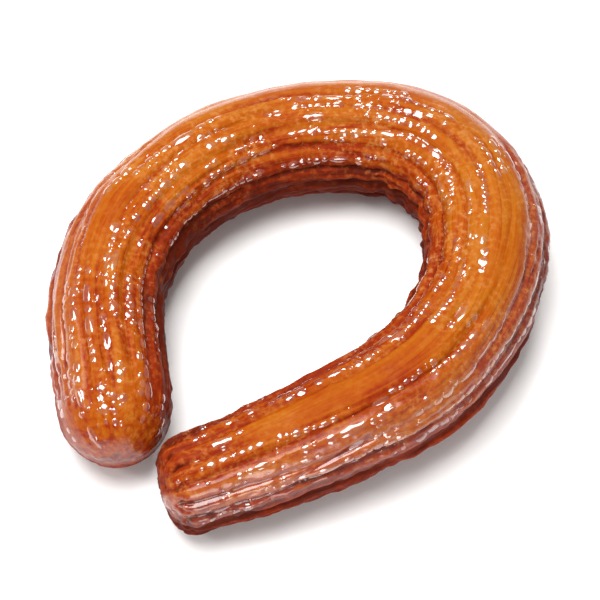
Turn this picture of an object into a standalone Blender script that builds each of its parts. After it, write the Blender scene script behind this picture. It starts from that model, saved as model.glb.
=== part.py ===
"""A ring of fried dough soaked in syrup, for Blender 4.5.

A stiff dough is piped through a star nozzle straight into hot oil, in one round stroke whose two ends
almost meet, and the fried ring is dropped into cold syrup. It is one piece, so it is one solid: a ridged
rope of dough that lies flat, with one round end and one blunt end. Metres, +Z up; the origin is under the
middle of the ring, on the surface that it lies on, and +Y points away from the gap between the ends.
"""

import math

import bmesh
import bpy
import numpy as np
from mathutils import Vector, noise

MM = 0.001

# The stroke of the piping bag, seen from above. It starts at the round end, and every stretch is its
# length in millimetres and how far it turns clockwise in degrees.
FIRST_HEADING = math.radians(92)
STROKE = ((24, -9), (42, 63), (42, 49), (31, 77), (47, 65), (42.5, 9))
BEND_SOFTNESS = 14 * MM
PATH_STEP = 0.25 * MM

# How thick the rope of dough is along the stroke, as pairs of a share of its length and millimetres.
THICKNESS = ((0.0, 21.4), (0.12, 22.6), (0.42, 22.4), (0.62, 24.8), (0.78, 23.4), (0.90, 21.2), (1.0, 18.0))
ROUND_END = 12.0 * MM
ROUND_END_POWER = 2.1
BLUNT_END = 5.5 * MM
BLUNT_END_POWER = 2.4

# The nozzle's teeth leave as many grooves, which the round end has lost. A groove wanders, and it is
# deepest on the rope's flanks, shallower on top and shallowest where it has nearly closed up. Its depth
# varies round the usual one, both as shares of the full depth.
TEETH = 16
GROOVE_DEPTH = 1.15 * MM
GROOVE_ON_TOP = 0.75
TOP_ARC = math.radians(40)
FLANK_STARTS = math.radians(80)
GROOVE_LEAST = 0.1
GROOVE_USUAL = 0.85
GROOVE_VARIES = 0.9
GROOVE_LENGTH = 26 * MM
GROOVE_WANDER = math.radians(8)
WANDER_LENGTH = 2.2 * GROOVE_LENGTH
RIDGE_ROUNDNESS = 2.6
RIDGES_START = 7 * MM
RIDGES_FADE = 16 * MM
END_FACE = 0.6 * MM
END_RIM = 3.0 * MM

# Where ridges have run together into a broad smooth band: from and to along the stroke in millimetres,
# the angle round the rope and half the band's width in degrees.
SMOOTH_BANDS = ((163, 217, -4, 20), (58, 132, 42, 24), (128, 168, 18, 22), (34, 62, 14, 18))
BAND_FADE = 10
BAND_GROOVE = 0.25

# Dough swells unevenly as it fries, in lumps with smaller ones on them, and the tight bend pleats its
# inner side.
LUMP_HEIGHT = 0.45 * MM
LUMP_SIZE = 13 * MM
SMALL_LUMP_SHARE = 0.4
SMALL_LUMPS = 2.3
PLEAT_DEPTH = 0.4 * MM
PLEAT_SPACING = 9 * MM
TIGHT_BEND = 30 * MM

# The soft ring settles: its underside is pressed flat where it lies, and the grooves there shut.
SETTLED = 0.9 * MM
PRESSED_ARC = math.radians(38)
PRESSED_RISE = 2.0
PRESSED_GROOVE = 0.25

# The mesh: points across each ridge, rings along the rope, rings over each end, and how many steps the
# first of those is from the tip.
POINTS_A_RIDGE = 4
RINGS_ALONG = 72
RINGS_AN_END = 6
FIRST_RING = 0.35

CARAMEL = (0.47, 0.125, 0.018, 1.0)


def clear_scene():
    for thing in list(bpy.data.objects):
        bpy.data.objects.remove(thing, do_unlink=True)


def stroke_path():
    """The rope's middle line from above: distances along it, points, headings and bends (1 / radius)."""
    lengths = np.array([length for length, _ in STROKE]) * MM
    turns = np.radians([turn for _, turn in STROKE])
    total = lengths.sum()
    along = np.arange(0.0, total + PATH_STEP / 2, PATH_STEP)
    stretch = np.clip(np.searchsorted(np.cumsum(lengths), along), 0, len(lengths) - 1)
    window = np.ones(round(BEND_SOFTNESS / PATH_STEP))
    reach = len(window) // 2
    bends = np.pad((turns / lengths)[stretch], reach, mode="edge")
    bends = np.convolve(bends, window / window.sum(), mode="same")[reach : reach + len(along)]
    headings = FIRST_HEADING - np.cumsum(bends) * PATH_STEP
    points = np.cumsum(np.stack([np.cos(headings), np.sin(headings)], axis=1), axis=0) * PATH_STEP
    return along, points, headings, bends


def end_taper(distance, length, power):
    """How wide an end is, as a share of the rope, at a distance from its tip."""
    if distance >= length:
        return 1.0
    return (1.0 - (1.0 - distance / length) ** power) ** (1.0 / power)


def ring_places(total):
    """Distances along the stroke where the section is drawn, closer together over both ends."""
    steps = [1.0 - math.cos(math.pi / 2 * (i + FIRST_RING) / RINGS_AN_END) for i in range(RINGS_AN_END)]
    first = [ROUND_END * step for step in steps]
    last = [total - BLUNT_END * step for step in reversed(steps)]
    middle = np.linspace(ROUND_END, total - BLUNT_END, RINGS_ALONG)
    return [*first, *middle, *last]


def slow_noise(x, y, z=0.0):
    """A smooth number from about -1 to 1 that is the same every time."""
    return noise.noise(Vector((x, y, z)))


def groove_angle(groove, along):
    """Where a groove runs round the rope: 0 is the top, and a quarter turn is the ring's outer side."""
    drift = slow_noise(groove * 3.7, along / WANDER_LENGTH, 5.0)
    return math.tau * groove / TEETH + GROOVE_WANDER * drift


def rising(x):
    """0 below 0, 1 above 1, and a soft rise between them."""
    x = min(1.0, max(0.0, x))
    return x * x * (3.0 - 2.0 * x)


def smooth_band(along, angle):
    """1 in the middle of a smooth band, 0 outside them all."""
    inside = 0.0
    for start, end, middle, half in SMOOTH_BANDS:
        aside = abs((angle - math.radians(middle) + math.pi) % math.tau - math.pi) / math.radians(half)
        lengthwise = rising((along / MM - start) / BAND_FADE) * rising((end - along / MM) / BAND_FADE)
        inside = max(inside, lengthwise * (1.0 - rising(2.0 * aside - 1.0)))
    return inside


def groove_depth(groove, along, total):
    """How deep a groove is there. It fades towards both ends and is pressed shut underneath."""
    share = GROOVE_USUAL + GROOVE_VARIES * slow_noise(groove * 5.3, along / GROOVE_LENGTH, 1.0)
    depth = GROOVE_DEPTH * max(GROOVE_LEAST, min(1.0, share))
    depth *= rising((along - RIDGES_START) / RIDGES_FADE)
    depth *= rising((total - along - END_FACE) / (END_RIM - END_FACE))
    angle = groove_angle(groove, along)
    from_top = abs((angle + math.pi) % math.tau - math.pi)
    on_flank = rising((from_top - TOP_ARC) / (FLANK_STARTS - TOP_ARC))
    depth *= GROOVE_ON_TOP + (1.0 - GROOVE_ON_TOP) * on_flank
    underneath = max(0.0, 1.0 - (math.pi - from_top) / PRESSED_ARC)
    depth *= 1.0 - (1.0 - PRESSED_GROOVE) * min(1.0, PRESSED_RISE * underneath)
    return depth * (1.0 - (1.0 - BAND_GROOVE) * smooth_band(along, angle))


def section(along, total, bend):
    """Pairs of angle and distance from the rope's middle, groove by groove round one section."""
    thick = np.interp(along / total, *zip(*THICKNESS)) * MM / 2
    taper = end_taper(along, ROUND_END, ROUND_END_POWER)
    taper *= end_taper(total - along, BLUNT_END, BLUNT_END_POWER)
    pleat = PLEAT_DEPTH * min(1.0, bend * TIGHT_BEND) ** 3 * math.sin(math.tau * along / PLEAT_SPACING)
    points = []
    for groove in range(TEETH):
        here, after = groove_angle(groove, along), groove_angle(groove + 1, along)
        if groove == TEETH - 1:
            after = math.tau + groove_angle(0, along)
        depths = [groove_depth(side % TEETH, along, total) for side in (groove, groove + 1)]
        for step in range(POINTS_A_RIDGE):
            across = 2.0 * step / POINTS_A_RIDGE - 1.0
            angle = here + (after - here) * (across + 1.0) / 2.0
            cut = depths[across > 0] * abs(across) ** RIDGE_ROUNDNESS
            inner = max(0.0, -math.sin(angle)) ** 2
            points.append((angle, (thick - cut - pleat * inner) * taper))
    return points


def dough_rope():
    """Lofts the rope's sections along the stroke, closes both tips, kneads the surface and lays it down."""
    along, path, headings, bends = stroke_path()
    total = along[-1]
    mesh = bmesh.new()
    rings = []
    for place in ring_places(total):
        x, y = (np.interp(place, along, path[:, axis]) for axis in (0, 1))
        heading = np.interp(place, along, headings)
        height = np.interp(place / total, *zip(*THICKNESS)) * MM / 2
        middle = Vector((x, y, height))
        outwards = Vector((-math.sin(heading), math.cos(heading), 0.0))
        ring = []
        for angle, reach in section(place, total, np.interp(place, along, bends)):
            way = Vector((0, 0, math.cos(angle))) + outwards * math.sin(angle)
            ring.append(mesh.verts.new(middle + way * reach))
        rings.append(ring)
    for ring, after in zip(rings, rings[1:]):
        for side in range(len(ring)):
            beside = (side + 1) % len(ring)
            mesh.faces.new((ring[side], after[side], after[beside], ring[beside]))
    for ring, outward in ((rings[0], 1), (rings[-1], -1)):
        tip = mesh.verts.new(sum((corner.co for corner in ring), Vector()) / len(ring))
        for side in range(len(ring)):
            corners = (tip, ring[side], ring[(side + 1) % len(ring)])
            mesh.faces.new(corners[::outward])
    knead(mesh)
    lay_down(mesh)
    return mesh


def knead(mesh):
    """Swells and dents the surface, each point along its own normal."""
    mesh.normal_update()
    moves = []
    for corner in mesh.verts:
        lump = noise.noise(corner.co / LUMP_SIZE)
        lump += SMALL_LUMP_SHARE * noise.noise(corner.co * SMALL_LUMPS / LUMP_SIZE)
        moves.append(corner.normal * LUMP_HEIGHT * lump)
    for corner, move in zip(mesh.verts, moves):
        corner.co += move


def lay_down(mesh):
    """Presses the underside flat and puts the origin under the middle of the ring."""
    places = np.array([corner.co for corner in mesh.verts])
    low, high = places.min(axis=0), places.max(axis=0)
    middle = (low + high) / 2
    for corner in mesh.verts:
        corner.co.x -= middle[0]
        corner.co.y -= middle[1]
        corner.co.z = max(0.0, corner.co.z - SETTLED)


def caramel_crust():
    """The browned crust under its film of syrup."""
    crust = bpy.data.materials.new("caramel_crust")
    crust.use_nodes = True
    shader = crust.node_tree.nodes["Principled BSDF"]
    shader.inputs["Base Color"].default_value = CARAMEL
    shader.inputs["Metallic"].default_value = 0.0
    shader.inputs["Roughness"].default_value = 0.25
    shader.inputs["Coat Weight"].default_value = 1.0
    crust.diffuse_color = CARAMEL
    return crust


def build():
    clear_scene()
    sweets = bpy.data.collections.new("syrup_soaked_dough_ring")
    bpy.context.scene.collection.children.link(sweets)
    shape = bpy.data.meshes.new("dough_ring")
    mesh = dough_rope()
    mesh.to_mesh(shape)
    mesh.free()
    shape.shade_smooth()
    shape.materials.append(caramel_crust())
    sweets.objects.link(bpy.data.objects.new("dough_ring", shape))


build()
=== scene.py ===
"""The looks of a ring of fried dough soaked in syrup.

The ring is one ridged rope of dough, piped through a star nozzle into hot oil in one round stroke, browned,
and dropped into cold syrup, which soaks the crust and leaves a gloss on it. Everything is in metres, +Z up.
"""

import math

import bpy
import numpy as np
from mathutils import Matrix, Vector, noise


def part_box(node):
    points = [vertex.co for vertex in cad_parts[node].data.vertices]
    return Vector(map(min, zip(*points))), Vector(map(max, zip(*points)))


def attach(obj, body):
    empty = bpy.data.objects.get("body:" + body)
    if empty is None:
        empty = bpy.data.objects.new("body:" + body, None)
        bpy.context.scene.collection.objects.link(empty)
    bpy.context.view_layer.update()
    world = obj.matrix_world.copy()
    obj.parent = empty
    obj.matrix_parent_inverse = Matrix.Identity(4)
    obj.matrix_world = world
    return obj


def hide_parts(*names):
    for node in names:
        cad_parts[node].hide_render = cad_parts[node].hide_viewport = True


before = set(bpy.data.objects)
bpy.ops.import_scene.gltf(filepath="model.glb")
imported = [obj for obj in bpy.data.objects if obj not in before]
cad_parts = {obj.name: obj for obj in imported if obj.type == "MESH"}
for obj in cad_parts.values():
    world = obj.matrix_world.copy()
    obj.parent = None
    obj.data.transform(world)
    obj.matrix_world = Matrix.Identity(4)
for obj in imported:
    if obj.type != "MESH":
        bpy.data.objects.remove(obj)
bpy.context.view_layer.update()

MM = 0.001


# The view
# The eye is on the side of the gap between the ends, sixty degrees above the ring's own plane and a little
# under half a metre away.
VIEW_HEIGHT = math.radians(60)
VIEW_DISTANCE = 450 * MM
VIEW_AIM = Vector((-0.1, -1.0, 10.5)) * MM
VIEW_LENS = 141.0

towards_eye = Vector((0.0, -math.cos(VIEW_HEIGHT), math.sin(VIEW_HEIGHT)))
camera = bpy.data.objects.new("camera", bpy.data.cameras.new("camera"))
camera.data.lens = VIEW_LENS
camera.data.sensor_width = 36.0
camera.data.clip_start = 0.01
camera.location = VIEW_AIM + towards_eye * VIEW_DISTANCE
camera.rotation_euler = towards_eye.to_track_quat("Z", "Y").to_euler()
bpy.context.scene.collection.objects.link(camera)
bpy.context.scene.camera = camera


# The dough ring
# A rope of stiff dough, pushed through a nozzle with sixteen teeth and laid down in one stroke whose ends
# almost meet. Frying swells it unevenly, splits its ridges into strands and closes other grooves up into
# broad smooth bands, and it settles on a flat foot while it is still soft.

# The stroke, seen from above: every stretch's length in millimetres and its clockwise turn in degrees.
FIRST_HEADING = math.radians(92)
STROKE = ((24, -9), (42, 63), (42, 49), (31, 77), (47, 65), (42.5, 9))
BEND_SOFTNESS = 14 * MM
PATH_STEP = 0.25 * MM


def stroke_path():
    """The rope's middle line from above: distances along it, points, headings and bends (1 / radius)."""
    lengths = np.array([length for length, _ in STROKE]) * MM
    turns = np.radians([turn for _, turn in STROKE])
    along = np.arange(0.0, lengths.sum() + PATH_STEP / 2, PATH_STEP)
    stretch = np.clip(np.searchsorted(np.cumsum(lengths), along), 0, len(lengths) - 1)
    window = np.ones(round(BEND_SOFTNESS / PATH_STEP))
    reach = len(window) // 2
    bends = np.pad((turns / lengths)[stretch], reach, mode="edge")
    bends = np.convolve(bends, window / window.sum(), mode="same")[reach : reach + len(along)]
    headings = FIRST_HEADING - np.cumsum(bends) * PATH_STEP
    points = np.cumsum(np.stack([np.cos(headings), np.sin(headings)], axis=1), axis=0) * PATH_STEP
    return along, points, headings, bends


# How thick the rope is along the stroke, as pairs of a share of its length and millimetres, its two ends,
# and the rings of corners along it. The first ring of an end is less than a step from the tip.
THICKNESS = ((0.0, 21.4), (0.12, 22.6), (0.42, 22.4), (0.62, 24.8), (0.78, 23.4), (0.90, 21.2), (1.0, 18.0))
ROUND_END = 12.0 * MM
ROUND_END_POWER = 2.1
BLUNT_END = 5.5 * MM
BLUNT_END_POWER = 2.4
RINGS_ALONG = 450
RINGS_ROUND_END = 38
RINGS_BLUNT_END = 24
FIRST_RING = 0.35


def end_steps(rings):
    """Distances from an end's tip as shares of the end's length, close together where it rounds off."""
    return 1.0 - np.cos(np.pi / 2 * (np.arange(rings) + FIRST_RING) / rings)


def end_taper(distance, length, power):
    """How wide an end is, as a share of the rope, at distances from its tip."""
    left = np.clip(1.0 - distance / length, 0.0, 1.0)
    return (1.0 - left**power) ** (1.0 / power)


along, path, headings, bends = stroke_path()
total = along[-1]
places = np.concatenate(
    [
        ROUND_END * end_steps(RINGS_ROUND_END),
        np.linspace(ROUND_END, total - BLUNT_END, RINGS_ALONG),
        total - BLUNT_END * end_steps(RINGS_BLUNT_END)[::-1],
    ]
)
run = places[:, None]
heading = np.interp(places, along, headings)[:, None]
bend = np.interp(places, along, bends)[:, None]
half_thick = np.interp(places / total, *zip(*THICKNESS))[:, None] * MM / 2
taper = end_taper(run, ROUND_END, ROUND_END_POWER) * end_taper(total - run, BLUNT_END, BLUNT_END_POWER)

# The grooves that the teeth leave. Each wanders, and its depth varies round the usual one. They are deepest
# on the flanks, shut on the foot, and missing from the round end. Where ridges have run together into a
# smooth band, the numbers are from and to along the stroke in millimetres, the angle round the rope and
# half the band's width in degrees.
TEETH = 16
GROOVE_DEPTH = 1.15 * MM
GROOVE_ON_TOP = 0.75
TOP_ARC = math.radians(40)
FLANK_STARTS = math.radians(80)
GROOVE_LEAST = 0.1
GROOVE_USUAL = 0.85
GROOVE_VARIES = 0.9
GROOVE_LENGTH = 26 * MM
GROOVE_WANDER = math.radians(8)
WANDER_LENGTH = 2.2 * GROOVE_LENGTH
RIDGES_START = 7 * MM
RIDGES_FADE = 16 * MM
END_FACE = 0.6 * MM
END_RIM = 3.0 * MM
PRESSED_ARC = math.radians(38)
PRESSED_RISE = 2.0
PRESSED_GROOVE = 0.25
SMOOTH_BANDS = ((163, 217, -4, 20), (58, 132, 42, 24), (128, 168, 18, 22), (34, 62, 14, 18))
BAND_FADE = 10
BAND_GROOVE = 0.25


def sampled_noise(*axes):
    """Smooth numbers from about -1 to 1 at places whose coordinates are given axis by axis. Where one of
    them is the number of a groove, a ridge or a row times a few, neighbours are unlike each other."""
    axes = np.broadcast_arrays(*axes)
    values = [noise.noise(place) for place in zip(*(axis.ravel() for axis in axes))]
    return np.array(values).reshape(axes[0].shape)


def rising(x):
    """0 below 0, 1 above 1, and a soft rise between them."""
    x = np.clip(x, 0.0, 1.0)
    return x * x * (3.0 - 2.0 * x)


def rising_from(x, start, fade):
    """0 below a value and 1 from a fade's length above it."""
    return rising((x - start) / fade)


def between(x, start, end, fade):
    """1 between two values and 0 outside them, with a soft rise and fall just inside."""
    return rising((x - start) / fade) * rising((end - x) / fade)


def smooth_bands(along, angles):
    """1 in the middle of a smooth band, 0 outside them all."""
    inside = 0.0
    for start, end, middle, half in SMOOTH_BANDS:
        aside = np.abs((angles - math.radians(middle) + math.pi) % math.tau - math.pi) / math.radians(half)
        band = between(along / MM, start, end, BAND_FADE) * (1.0 - rising(2.0 * aside - 1.0))
        inside = np.maximum(inside, band)
    return inside


groove = np.arange(TEETH + 1)[None, :]
drift = sampled_noise(groove % TEETH * 3.7, run / WANDER_LENGTH, 5.0)
groove_angles = math.tau * groove / TEETH + GROOVE_WANDER * drift
depth_share = GROOVE_USUAL + GROOVE_VARIES * sampled_noise(groove % TEETH * 5.3, run / GROOVE_LENGTH, 1.0)
depths = GROOVE_DEPTH * np.clip(depth_share, GROOVE_LEAST, 1.0) * rising((run - RIDGES_START) / RIDGES_FADE)
depths *= rising((total - run - END_FACE) / (END_RIM - END_FACE))
groove_turned = np.abs((groove_angles + math.pi) % math.tau - math.pi)
groove_on_flank = rising((groove_turned - TOP_ARC) / (FLANK_STARTS - TOP_ARC))
depths *= GROOVE_ON_TOP + (1.0 - GROOVE_ON_TOP) * groove_on_flank
underneath = np.clip(PRESSED_RISE * (1.0 - (math.pi - groove_turned) / PRESSED_ARC), 0.0, 1.0)
depths *= 1.0 - (1.0 - PRESSED_GROOVE) * underneath
depths *= 1.0 - (1.0 - BAND_GROOVE) * smooth_bands(run, groove_angles)

# The ridges between them, point by point round each section. The tight bend pleats the rope's inner side.
# An angle of 0 is the top, and a quarter turn is the ring's outer side.
POINTS_A_RIDGE = 12
RIDGE_ROUNDNESS = 2.6
PLEAT_DEPTH = 0.4 * MM
PLEAT_SPACING = 9 * MM
TIGHT_BEND = 30 * MM

across = 2.0 * np.arange(POINTS_A_RIDGE) / POINTS_A_RIDGE - 1.0
share = (across + 1.0) / 2.0
columns = TEETH * POINTS_A_RIDGE
sections = (len(places), columns)
angle = groove_angles[:, :-1, None] * (1.0 - share) + groove_angles[:, 1:, None] * share
angle = angle.reshape(sections)
cut = np.where(across > 0, depths[:, 1:, None], depths[:, :-1, None]) * np.abs(across) ** RIDGE_ROUNDNESS
cut = cut.reshape(sections)
outer = np.sin(angle)
pleat = PLEAT_DEPTH * np.minimum(1.0, bend * TIGHT_BEND) ** 3 * np.sin(math.tau * run / PLEAT_SPACING)
reach = (half_thick - cut - pleat * np.maximum(0.0, -outer) ** 2) * taper
skin = np.stack(
    [
        np.interp(run, along, path[:, 0]) - np.sin(heading) * reach * outer,
        np.interp(run, along, path[:, 1]) + np.cos(heading) * reach * outer,
        half_thick + reach * np.cos(angle),
    ],
    axis=2,
)

# What frying does to the surface, as heights along its own normals: lumps with smaller ones on them, swells
# on each ridge's crest, furrows between the strands that a ridge splits into, folds and bumps on the flanks,
# and fine knobs in rough patches. The pressed foot, whose arc is in radians, keeps only a share of all but
# the lumps, and the smooth bands keep only a share of the strands, bumps and knobs.
LUMP_HEIGHT = 0.45 * MM
LUMP_SIZE = 13 * MM
SMALL_LUMP_SHARE = 0.4
SMALL_LUMPS = 2.3
SWELL_HEIGHT = 0.3 * MM
SWELL_LENGTH = 8 * MM
STRAND_DEPTH = 0.42 * MM
STRAND_WIDTH = 2.6 * MM
STRAND_LENGTH = 24 * MM
STRAND_FURROW = 0.13
STRANDS_USUAL = 0.6
STRAND_PATCH = 11 * MM
FOLD_DEPTH = 0.28 * MM
FOLD_WIDTH = 1.7 * MM
FOLD_LENGTH = 15 * MM
FOLD_FURROW = 0.16
FOLDS_START = math.radians(55)
FOLDS_FADE = math.radians(30)
BUMP_HEIGHT = 0.34 * MM
BUMP_LENGTH = 2.8 * MM
BUMP_WIDTH = 2.2 * MM
KNOB_HEIGHT = 0.26 * MM
KNOB_SIZE = 1.3 * MM
KNOBS_LEAST = 0.35
ROUGH_USUAL = 0.35
ROUGH_VARIES = 1.8
ROUGH_PATCH = 9 * MM
ROUGHER_ROUND_END = 0.5
FOOT_ARC = 0.6
FOOT_FADE = 0.5
FOOT_RELIEF = 0.15
BAND_RELIEF = 0.2


def noise_on_skin(size):
    """Smooth numbers over the skin, whose patches have the size that is given."""
    return sampled_noise(*(skin / size).transpose(2, 0, 1))


def furrow(x, width):
    """1 where x is 0, fading to 0 on both sides within about the width."""
    return np.exp(-((x / width) ** 2))


grown = rising(run / RIDGES_FADE)
turned = np.abs((angle + math.pi) % math.tau - math.pi)
on_flank = rising((turned - TOP_ARC) / (FLANK_STARTS - TOP_ARC))
foot = 1.0 - (1.0 - FOOT_RELIEF) * rising((FOOT_ARC - np.abs(angle - math.pi)) / FOOT_FADE)
smooth = smooth_bands(run, angle)
rough = foot * (1.0 - (1.0 - BAND_RELIEF) * smooth)
around = (half_thick * np.stack([np.cos(angle), np.sin(angle)])) * taper
crest = np.tile((1.0 - across**2) ** 2, TEETH)[None, :]
ridge = np.repeat(np.arange(TEETH), POINTS_A_RIDGE)[None, :]
lumps = noise_on_skin(LUMP_SIZE) + SMALL_LUMP_SHARE * noise_on_skin(LUMP_SIZE / SMALL_LUMPS)
swells = crest * sampled_noise(run / SWELL_LENGTH, ridge * 4.3, 7.0)
strands = furrow(sampled_noise(run / STRAND_LENGTH, *(around / STRAND_WIDTH)), STRAND_FURROW)
strands *= np.clip(STRANDS_USUAL + noise_on_skin(STRAND_PATCH), 0.0, 1.0)
folds = furrow(sampled_noise(run / FOLD_LENGTH, *(around / FOLD_WIDTH)), FOLD_FURROW)
folds *= foot * grown * rising((turned - FOLDS_START) / FOLDS_FADE)
bumps = on_flank * sampled_noise(run / BUMP_LENGTH, *(around / BUMP_WIDTH))
patches = ROUGH_USUAL + ROUGH_VARIES * noise_on_skin(ROUGH_PATCH) + ROUGHER_ROUND_END * (1.0 - grown)
patches = np.clip(patches, 0.0, 1.0)
knobs = noise_on_skin(KNOB_SIZE) * (KNOBS_LEAST + (1.0 - KNOBS_LEAST) * patches)
height = LUMP_HEIGHT * lumps + foot * grown * SWELL_HEIGHT * swells - FOLD_DEPTH * folds
height += rough * (KNOB_HEIGHT * knobs + grown * (BUMP_HEIGHT * bumps - STRAND_DEPTH * strands))
ways = np.gradient(skin, axis=0)
turns = np.roll(skin, -1, axis=1) - np.roll(skin, 1, axis=1)
normals = np.cross(ways, turns)
normals /= np.linalg.norm(normals, axis=2, keepdims=True)
skin += normals * height[:, :, None]

# It lies down on its foot, centred where its solid is.
SETTLED = 0.9 * MM

flat = skin.reshape(-1, 3)
low, high = flat.min(axis=0), flat.max(axis=0)
solid_low, solid_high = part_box("dough_ring")
middle = (np.array(solid_low) + np.array(solid_high)) / 2
flat[:, :2] += middle[:2] - ((low + high) / 2)[:2]
flat[:, 2] = np.maximum(0.0, flat[:, 2] - SETTLED)

corners = np.arange(len(flat)).reshape(sections)
beside = np.roll(corners, -1, axis=1)
quads = np.stack([corners[:-1], corners[1:], beside[1:], beside[:-1]], axis=2).reshape(-1, 4).tolist()
tips = [flat[:columns].mean(axis=0), flat[-columns:].mean(axis=0)]
first, last = len(flat), len(flat) + 1
fans = [(first, a, b) for a, b in zip(corners[0].tolist(), beside[0].tolist())]
fans += [(last, b, a) for a, b in zip(corners[-1].tolist(), beside[-1].tolist())]
shape = bpy.data.meshes.new("fried_dough_ring")
shape.from_pydata(np.vstack([flat, tips]).tolist(), [], quads + fans)
shape.shade_smooth()

# What the material needs to know at each corner of the skin. Syrup that has run down stands on the outer
# flank's upper half and on the front of the round end. The blunt end and the outer flank of the right arc
# get painted shade, and the far arc gets a painted pale sheen. The inner side gets painted shade as well. A
# side of the rope is the sine of the angle where it starts and how much more of it makes it full, and the
# other fades are in radians.
WET_SIDE = (0.35, 0.35)
WET_FLANK = 0.85
WET_FLANK_ENDS = math.radians(94)
WET_FLANK_FADE = 0.5
WET_FRONT = 0.8
WET_FRONT_LENGTH = 9 * MM
WET_FRONT_ARC = (math.radians(50), math.radians(105))
WET_FRONT_FADE = 0.3
INNER_SIDE = (0.35, 0.5)
FOLD_SHARE = 0.7
SHADED_SIDE = (0.45, 0.4)
SHADED_FLANK = (108 * MM, 172 * MM)
SHADED_FLANK_FADE = 16 * MM
SHADED_END = 22 * MM
SHADED_END_FADE = 18 * MM
SHEEN_STRETCH = (40 * MM, 185 * MM)
SHEEN_FADE = 30 * MM

tilt = np.arccos(np.clip(normals[..., 2], -1.0, 1.0))
from_top = tilt + (turned - tilt) * grown
wet_flank = foot * rising_from(outer, *WET_SIDE) * rising((WET_FLANK_ENDS - from_top) / WET_FLANK_FADE)
wet_front = between(from_top, *WET_FRONT_ARC, WET_FRONT_FADE) * (1.0 - rising(run / WET_FRONT_LENGTH))
# Painted shade on the outer flank of the right arc and on the blunt end.
painted_shade_flank = rising_from(outer, *SHADED_SIDE) * between(run, *SHADED_FLANK, SHADED_FLANK_FADE)
painted_shade_end = rising((run - total + SHADED_END) / SHADED_END_FADE)
marks = {
    "groove": cut / GROOVE_DEPTH,
    "strand": strands * rough + FOLD_SHARE * folds,
    "smooth": smooth,
    "from_top": from_top / math.pi,
    # A painted pale sheen along the far arc.
    "painted_sheen": between(run, *SHEEN_STRETCH, SHEEN_FADE),
    "inner": grown * rising_from(-outer, *INNER_SIDE),
    "wet": WET_FRONT * wet_front + WET_FLANK * wet_flank * grown,
    # Painted shade on the right arc's outer flank and the blunt end.
    "painted_shade": np.maximum(painted_shade_flank, painted_shade_end),
}
marks = {name: np.broadcast_to(values, sections)[..., None] for name, values in marks.items()}
marks["rope_place"] = np.stack([np.broadcast_to(run, sections), *around], axis=2)


def keep_marks(mesh, values_by_name):
    """Keeps a number or a vector for each corner of a mesh, under its name."""
    for name, values in values_by_name.items():
        kind, field = ("FLOAT_VECTOR", "vector") if values.shape[-1] == 3 else ("FLOAT", "value")
        attribute = mesh.attributes.new(name, kind, "POINT")
        attribute.data.foreach_set(field, values.astype(np.float32).ravel())


def with_tips(values):
    """The values of the skin's corners, and those of the two tips, which are like the ring beside them."""
    return np.vstack([values.reshape(-1, values.shape[-1]), values[0, :1], values[-1, :1]])


keep_marks(shape, {name: with_tips(values) for name, values in marks.items()})


class Link:
    """A socket of a material's nodes; sums and products of links and numbers add the Math nodes they need."""

    def __init__(self, tree, socket=None):
        self.tree = tree
        self.socket = socket

    def node(self, kind, settings=None, sockets=None, give=0):
        """Adds a node, sets it up, and returns the output that is asked for."""
        made = self.tree.nodes.new(kind)
        for name, value in (settings or {}).items():
            setattr(made, name, value)
        for name, value in (sockets or {}).items():
            if isinstance(value, Link):
                self.tree.links.new(value.socket, made.inputs[name])
            else:
                made.inputs[name].default_value = value
        return Link(self.tree, made.outputs[give])

    def mark(self, name, give="Fac"):
        """What the skin's corners keep under a name."""
        return self.node("ShaderNodeAttribute", {"attribute_name": name}, give=give)

    def speckle(self, size, detail=2.0, rough=0.5):
        """Smooth numbers from 0 to 1 at these places, whose patches have the size that is given."""
        sockets = {"Vector": self, "Scale": 1.0 / size, "Detail": detail, "Roughness": rough}
        return self.node("ShaderNodeTexNoise", {"noise_dimensions": "3D"}, sockets)

    def math(self, operation, *others, clamp=False):
        numbers = dict(enumerate((self, *others)))
        return self.node("ShaderNodeMath", {"operation": operation, "use_clamp": clamp}, numbers)

    def clamped(self):
        return self.math("ADD", 0.0, clamp=True)

    def ramp(self, low, high):
        """0 below low, 1 above high, and a soft rise between them."""
        settings = {"interpolation_type": "SMOOTHSTEP"}
        return self.node("ShaderNodeMapRange", settings, {"Value": self, "From Min": low, "From Max": high})

    def mix(self, colour, other):
        """The first colour where this is 0 and the other where it is 1."""
        return self.node("ShaderNodeMix", {"data_type": "RGBA"}, {0: self, 6: colour, 7: other}, 2)

    def feed(self, shader, name):
        self.tree.links.new(self.socket, shader.inputs[name])

    def __add__(self, other):
        return self.math("ADD", other)

    def __mul__(self, other):
        return self.math("MULTIPLY", other)

    def __sub__(self, other):
        return self.math("SUBTRACT", other)

    def __rsub__(self, other):
        return self.node("ShaderNodeMath", {"operation": "SUBTRACT"}, {0: other, 1: self})

    __radd__ = __add__
    __rmul__ = __mul__


def colour(red, green, blue):
    """A colour as the eye sees it, from 0 to 255, as the light that Blender counts in."""
    shares = np.array([red, green, blue]) / 255.0
    return (*np.where(shares <= 0.04045, shares / 12.92, ((shares + 0.055) / 1.055) ** 2.4), 1.0)


# The crust's colours. The pale one is also used for painted sheen, and the red-brown and dark ones also for
# painted shade.
PALE_AND_SHEEN = colour(174, 112, 60)
HONEY = colour(157, 87, 14)
AMBER = colour(149, 68, 5)
RED_BROWN = colour(128, 37, 5)
DARK = colour(85, 23, 7)

# The patches in those colours. Lines and hairs run along the rope, drawn out by the stretch. The sides,
# darkened as painted shade, start and are full at shares of the way from the top to the foot.
STRETCH = (0.07, 1.0, 1.0)
BLOTCH_SIZE = 12 * MM
GRAIN_SIZE = 1.1 * MM
LINE_WIDTH = 1.2 * MM
HAIR_WIDTH = 2.4 * MM
HAIR_SHARPNESS = 22.0
SHADED_SIDES = (0.2, 0.58)
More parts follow.
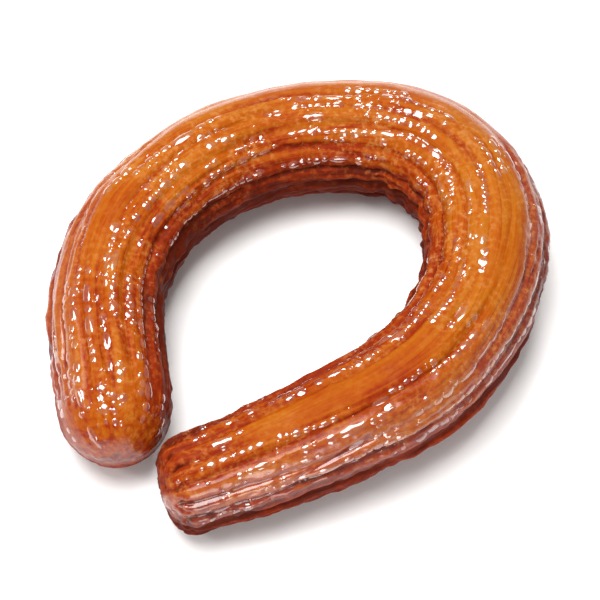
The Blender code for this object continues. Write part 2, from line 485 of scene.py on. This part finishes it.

# How far each thing moves the crust's colour from amber, at about 0, towards nearly burnt, at 1, and how
# much the lines, blotches and grain vary it. The grooves, the strand furrows, the sides, the inner side, the
# right arc's outer flank and the blunt end add painted shade, and the far arc takes some away as a painted
# sheen. A smooth band has less grain. Each darker colour starts at one brownness and has taken over at the
# next.
GROOVES_PAINTED_SHADE = 0.6
STRANDS_PAINTED_SHADE = 0.5
HAIRS_BROWN = 0.25
SIDES_PAINTED_SHADE = 0.72
INNER_SIDE_PAINTED_SHADE = 0.58
PAINTED_SHADE_DARKENS = 0.4
FAR_ARC_PAINTED_SHEEN = 0.3
LINES_VARY = 1.75
BLOTCHES_VARY = 1.1
GRAIN_VARIES = 1.2
SMOOTH_GRAIN_LESS = 0.6
TO_AMBER = (-0.45, 0.15)
TO_RED_BROWN = (0.05, 0.75)
TO_DARK = (0.6, 1.4)

# Pale flecks, on top alone, partly the crust's mottling and partly painted sheen: more of them on the far arc
# and fewer on a smooth band.
FLECK_GRAIN = (0.45, 0.75)
FLECK_BLOTCHES = (0.7, 0.4)
FLECKS_USUAL = 0.45
FLECKS_MORE_IN_SHEEN = 0.35
FLECKS_FEWER = 0.25

# How deep the grain, the lines and the hairs are in the crust's pores, as shares of the relief's depth.
PORE_GRAIN = 0.7
PORE_LINES = 1.5
PORE_HAIRS = 0.25
PORE_DEPTH = 0.15 * MM


def browned(material):
    """Gives a material the crust's colours, with painted shade and painted sheen mixed in, and returns its
    place in space, its pores and its shader.
    """
    material.use_nodes = True
    start = Link(material.node_tree)
    place = start.node("ShaderNodeTexCoord", give="Object")
    lengthwise = {0: start.mark("rope_place", "Vector"), 1: STRETCH}
    lengthwise = start.node("ShaderNodeVectorMath", {"operation": "MULTIPLY"}, lengthwise)
    blotches = place.speckle(BLOTCH_SIZE)
    grain = place.speckle(GRAIN_SIZE, 3.0, 0.6)
    lines = lengthwise.speckle(LINE_WIDTH, 4.0, 0.6)
    hairs = lengthwise.speckle(HAIR_WIDTH, 1.0)
    hairs = (1.0 - (hairs - 0.5).math("ABSOLUTE") * HAIR_SHARPNESS).clamped()
    # Painted shade on the sides and the foot, growing with the way round from the top.
    shaded_sides = start.mark("from_top").ramp(*SHADED_SIDES)
    # Painted shade on the right arc's outer flank and the blunt end, and a painted pale sheen on the far arc,
    # come in as marks here.
    smooth, painted_sheen, painted_shade = start.mark("smooth"), start.mark("painted_sheen"), start.mark("painted_shade")
    # Grooves and strand furrows darken the crust as painted shade.
    brown_and_shade = GROOVES_PAINTED_SHADE * start.mark("groove") + STRANDS_PAINTED_SHADE * start.mark("strand") + HAIRS_BROWN * hairs
    # The inner side darkens as painted shade.
    brown_and_shade = brown_and_shade + SIDES_PAINTED_SHADE * shaded_sides + INNER_SIDE_PAINTED_SHADE * start.mark("inner") + PAINTED_SHADE_DARKENS * painted_shade
    # The far arc is lightened as a painted sheen, except where painted shade lies.
    brown_and_shade = brown_and_shade - FAR_ARC_PAINTED_SHEEN * painted_sheen * (1.0 - painted_shade)
    brown_and_shade = brown_and_shade + (lines - 0.5) * LINES_VARY + (blotches - 0.5) * BLOTCHES_VARY
    brown_and_shade = brown_and_shade + (grain - 0.5) * (GRAIN_VARIES - SMOOTH_GRAIN_LESS * smooth)
    crust_colour = brown_and_shade.ramp(*TO_AMBER).mix(HONEY, AMBER)
    crust_colour = brown_and_shade.ramp(*TO_RED_BROWN).mix(crust_colour, RED_BROWN)
    crust_colour = brown_and_shade.ramp(*TO_DARK).mix(crust_colour, DARK)
    # Pale flecks on the top, partly the crust's mottling and partly painted sheen, most on the far arc.
    flecks_and_sheen = (1.0 - grain).ramp(*FLECK_GRAIN) * (1.0 - shaded_sides) * blotches.ramp(*FLECK_BLOTCHES)
    flecks_and_sheen = flecks_and_sheen * (FLECKS_USUAL + FLECKS_MORE_IN_SHEEN * painted_sheen - FLECKS_FEWER * smooth)
    crust_colour = flecks_and_sheen.mix(crust_colour, PALE_AND_SHEEN)
    shader = material.node_tree.nodes["Principled BSDF"]
    crust_colour.feed(shader, "Base Color")
    return place, grain * PORE_GRAIN + lines * PORE_LINES - hairs * PORE_HAIRS, shader


# The crust itself is nearly dull, more so in patches, and glossy where syrup stands on it.
CRUST_ROUGHNESS = 0.42
DRY_ROUGHNESS = 0.15
DRY_PATCH = 6 * MM
DRY_PATCHES = (0.35, 0.6)

crust = bpy.data.materials.new("syrup_soaked_crust")
place, pores, shader = browned(crust)
dry = place.speckle(DRY_PATCH).ramp(*DRY_PATCHES)
(CRUST_ROUGHNESS + DRY_ROUGHNESS * dry).feed(shader, "Roughness")
relief = {"Strength": 1.0, "Distance": PORE_DEPTH, "Height": pores}
place.node("ShaderNodeBump", None, relief, "Normal").feed(shader, "Normal")
place.mark("wet").feed(shader, "Coat Weight")
shader.inputs["Coat Roughness"].default_value = 0.2
shader.inputs["Coat IOR"].default_value = 1.7
shader.inputs["IOR"].default_value = 1.5
shader.inputs["Specular IOR Level"].default_value = 0.05

dough = bpy.data.objects.new("fried_dough_ring", shape)
shape.materials.append(crust)
bpy.context.scene.collection.objects.link(dough)
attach(dough, "root")
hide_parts("dough_ring")


# The beads of syrup
# The teeth of the nozzle tear the skin along each ridge into a row of small blisters, and the syrup stands
# on them as glossy beads, like strings of pearls, with more of them scattered in rough patches. A row
# wanders, comes and goes, and thins out towards both ends; a few of its beads have run together.
BEAD_ROWS = 25
BEAD_SPACING = 1.8 * MM

# A row starts with some beads to spare. Their lengths are shares of the spacing, and a few are longer: how
# likely that is, and how many times their length it adds. A row wanders by a share of the way to the next
# one, and a bead is off its row by columns of the skin.
ROW_SPARE = 1.15
BEAD_LENGTHS = (0.62, 1.38)
LONG_BEADS = ((0.1, 1.2), (0.03, 1.6))
ROW_WANDER = 0.8
ROW_WANDER_LENGTH = 22 * MM
BEAD_ASIDE = 0.5
ROW_USUAL = 0.75
ROW_VARIES = 1.6
ROW_STRETCH = 11 * MM
BARE_END = 9 * MM
CUT_END = 20 * MM
ROW_AT_ENDS = (0.45, 1.0)
BEAD_AT_ENDS = (0.5, 1.0)
SCATTERED_BEADS = 3000
SCATTERED_SIZE = 0.36 * MM
SCATTERED_SIZES = (0.7, 1.6)


def part_way(ends, share):
    """The value that is a share of the way from the first of two ends to the second."""
    return ends[0] + (ends[1] - ends[0]) * share


chance = np.random.default_rng(5)
row = np.arange(BEAD_ROWS)[:, None]
row_sizes = (BEAD_ROWS, round(ROW_SPARE * total / BEAD_SPACING))
row_lengths = BEAD_SPACING * part_way(BEAD_LENGTHS, chance.random(row_sizes))
longer = 1.0
for likelihood, growth in LONG_BEADS:
    longer = longer + growth * (chance.random(row_sizes) < likelihood)
row_lengths *= longer
row_places = np.cumsum(row_lengths, axis=1) - row_lengths / 2 - BEAD_SPACING * chance.random((BEAD_ROWS, 1))
wander = ROW_WANDER * sampled_noise(row_places / ROW_WANDER_LENGTH, row * 3.3, 1.0)
row_columns = columns * (row + wander) / BEAD_ROWS + chance.normal(0.0, BEAD_ASIDE, row_sizes)
from_ends = np.minimum(rising(row_places / BARE_END), rising((total - row_places) / CUT_END))
wanted = ROW_USUAL + ROW_VARIES * sampled_noise(row_places / ROW_STRETCH, row * 7.1, 3.0)
row_kept = chance.random(row_sizes) < wanted * part_way(ROW_AT_ENDS, from_ends)
row_halves = row_lengths / 2 * part_way(BEAD_AT_ENDS, from_ends)
some_places = total * chance.random(SCATTERED_BEADS)
some_columns = columns * chance.random(SCATTERED_BEADS)
some_halves = SCATTERED_SIZE * part_way(SCATTERED_SIZES, chance.random(SCATTERED_BEADS) ** 2)

bead_places = np.concatenate([row_places.ravel(), some_places])
bead_columns = np.concatenate([row_columns.ravel(), some_columns]) % columns
half_lengths = np.concatenate([row_halves.ravel(), some_halves])
bead_rings = np.interp(bead_places, places, np.arange(len(places)))

# Which of them stay: those on rough skin, away from both tips, and above the flanks and the inner side,
# whose limits are shares of the way from the top to the foot.
BEADS_END = (0.43, 0.34)
BARE_TIPS = (2.0 * MM, 2.5 * MM)
ROUGH_ENOUGH = 0.5


def on_skin(grid, ring_place, column):
    """A value of the skin's grid between its points, at a ring and a column that needn't be whole."""
    ring = np.clip(np.floor(ring_place).astype(int), 0, len(places) - 2)
    side = np.floor(column).astype(int)
    ring_share, side_share = (ring_place - ring)[..., None], (column - side)[..., None]
    side, next_side = side % columns, (side + 1) % columns
    near = grid[ring, side] * (1 - side_share) + grid[ring, next_side] * side_share
    far = grid[ring + 1, side] * (1 - side_share) + grid[ring + 1, next_side] * side_share
    return near * (1 - ring_share) + far * ring_share


roughness_there = on_skin(np.stack([rough, rough * patches], axis=2), bead_rings, bead_columns)
in_row = np.arange(len(bead_places)) < row_places.size
kept = np.where(in_row, roughness_there[:, 0], roughness_there[:, 1]) > ROUGH_ENOUGH
kept[: row_places.size] &= row_kept.ravel()
kept &= (bead_places > BARE_TIPS[0]) & (bead_places < total - BARE_TIPS[1])
beads_end = part_way(BEADS_END, on_skin(marks["inner"], bead_rings, bead_columns)[:, 0])
kept &= on_skin(marks["from_top"], bead_rings, bead_columns)[:, 0] < beads_end
bead_places, bead_columns, bead_rings = bead_places[kept], bead_columns[kept], bead_rings[kept]
half_lengths = half_lengths[kept]

# Each bead is a dome that stands straight on its middle and wraps round the ridge towards its rim, which is
# sunk a little into the skin. It is at most as wide as it is long, and lower on the flanks, which start and
# are full at shares of the way from the top to the foot: the first, and the first and second together.
BEAD_HALF_WIDTHS = (0.55 * MM, 1.0 * MM)
LONG_BEAD_WIDENS = 1.15
BEAD_SLOPES = (0.22, 0.48)
BEAD_FLANK = (0.25, 0.2)
FLANK_BEADS_LOWER = 0.5
BEAD_LIFT = 0.12 * MM
BEAD_SINK = 0.03 * MM
BEAD_RINGS = (0.35, 0.7, 1.0)
BEAD_SIDES = 10

half_widths = part_way(BEAD_HALF_WIDTHS, chance.random(len(bead_places)))
half_widths *= np.clip(half_lengths / (BEAD_SPACING / 2), 1.0, LONG_BEAD_WIDENS)
half_widths = np.minimum(half_widths, half_lengths)
slopes = part_way(BEAD_SLOPES, chance.random(len(bead_places)))
on_side = rising_from(on_skin(marks["from_top"], bead_rings, bead_columns)[:, 0], *BEAD_FLANK)
heights = slopes * half_widths / 2 * (1.0 - FLANK_BEADS_LOWER * on_side)

laid_skin = flat.reshape(skin.shape)
column_step = np.linalg.norm(np.roll(laid_skin, -1, axis=1) - laid_skin, axis=2, keepdims=True)
column_step = on_skin(column_step, bead_rings, bead_columns)
spin = math.tau * np.arange(BEAD_SIDES) / BEAD_SIDES
shares = np.concatenate([[0.0], np.repeat(BEAD_RINGS, BEAD_SIDES)])
spins = np.concatenate([[0.0], np.tile(spin, len(BEAD_RINGS))])
corner_places = bead_places[:, None] + half_lengths[:, None] * shares * np.cos(spins)
corner_columns = bead_columns[:, None] + half_widths[:, None] / column_step * shares * np.sin(spins)
corner_rings = np.interp(corner_places, places, np.arange(len(places)))
feet = on_skin(laid_skin, corner_rings, corner_columns)
bead_middles = on_skin(laid_skin, bead_rings, bead_columns)[:, None]
bead_ways = on_skin(normals, bead_rings, bead_columns)[:, None]
fallen = np.clip(-((feet - bead_middles) * bead_ways).sum(axis=2), 0.0, BEAD_LIFT)
lift = heights[:, None] * (1.0 - shares**2) + fallen * (1.0 - shares**4) - BEAD_SINK * shares
bead_corners = feet + bead_ways * lift[..., None]

dome = [(0, 1 + side, 1 + (side + 1) % BEAD_SIDES) for side in range(BEAD_SIDES)]
for ring in range(len(BEAD_RINGS) - 1):
    for side in range(BEAD_SIDES):
        a, b = 1 + ring * BEAD_SIDES + side, 1 + ring * BEAD_SIDES + (side + 1) % BEAD_SIDES
        dome.append((a, a + BEAD_SIDES, b + BEAD_SIDES, b))
firsts = range(0, len(bead_places) * len(shares), len(shares))
bead_faces = [tuple(first + corner for corner in face) for first in firsts for face in dome]
bead_shape = bpy.data.meshes.new("syrup_beads")
bead_shape.from_pydata(bead_corners.reshape(-1, 3).tolist(), [], bead_faces)
bead_shape.shade_smooth()
bead_marks = {name: on_skin(values, corner_rings, corner_columns) for name, values in marks.items()}
keep_marks(bead_shape, bead_marks)

syrup = bpy.data.materials.new("beaded_syrup")
shader = browned(syrup)[2]
shader.inputs["Roughness"].default_value = 0.16
shader.inputs["IOR"].default_value = 1.6
shader.inputs["Specular IOR Level"].default_value = 1.0
shader.inputs["Coat Weight"].default_value = 1.0
shader.inputs["Coat Roughness"].default_value = 0.03
shader.inputs["Coat IOR"].default_value = 1.6

beads = bpy.data.objects.new("syrup_beads", bead_shape)
bead_shape.materials.append(syrup)
bpy.context.scene.collection.objects.link(beads)
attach(beads, "root")


# The studio
# A plain pale table top in an even pale room, under one broad soft box overhead that makes the glints on the
# syrup, with small ones at the left and the back and a weak one in front. Each soft box has its name, the
# way to it, its width in metres and its power in watts.
SOFT_BOXES = (
    ("key_light", Vector((-0.18, 0.1, 0.93)), 0.42, 5.55),
    ("left_light", Vector((-0.8, -0.1, 0.6)), 0.12, 0.8),
    ("back_light", Vector((0.2, 0.85, 0.5)), 0.12, 1.1),
    ("front_light", Vector((0.1, -0.95, 0.3)), 0.3, 1.6),
)
LIGHT_DISTANCE = 0.6
ROOM_LIGHT = 0.36
ROOM_COLOUR = (1.0, 0.99, 0.98, 1.0)
TABLE_COLOUR = (0.9, 0.89, 0.88, 1.0)
TABLE_HALF = 1.5
TABLE_BELOW = 0.05 * MM

table_shape = bpy.data.meshes.new("table_top")
table_corners = [(TABLE_HALF * x, TABLE_HALF * y, 0.0) for x, y in ((-1, -1), (1, -1), (1, 1), (-1, 1))]
table_shape.from_pydata(table_corners, [], [(0, 1, 2, 3)])
pale_top = bpy.data.materials.new("pale_table")
pale_top.use_nodes = True
pale_top.node_tree.nodes["Principled BSDF"].inputs["Base Color"].default_value = TABLE_COLOUR
pale_top.node_tree.nodes["Principled BSDF"].inputs["Roughness"].default_value = 0.6
table_shape.materials.append(pale_top)
table_top = bpy.data.objects.new("table_top", table_shape)
table_top.location.z = -TABLE_BELOW
bpy.context.scene.collection.objects.link(table_top)

for name, way, size, power in SOFT_BOXES:
    lamp = bpy.data.objects.new(name, bpy.data.lights.new(name, "AREA"))
    lamp.data.shape = "SQUARE"
    lamp.data.size = size
    lamp.data.energy = power
    lamp.location = VIEW_AIM + way.normalized() * LIGHT_DISTANCE
    lamp.rotation_euler = way.to_track_quat("Z", "Y").to_euler()
    bpy.context.scene.collection.objects.link(lamp)

room = bpy.data.worlds.new("room")
room.use_nodes = True
room.node_tree.nodes["Background"].inputs["Color"].default_value = ROOM_COLOUR
room.node_tree.nodes["Background"].inputs["Strength"].default_value = ROOM_LIGHT
bpy.context.scene.world = room
bpy.context.scene.view_settings.view_transform = "Standard"
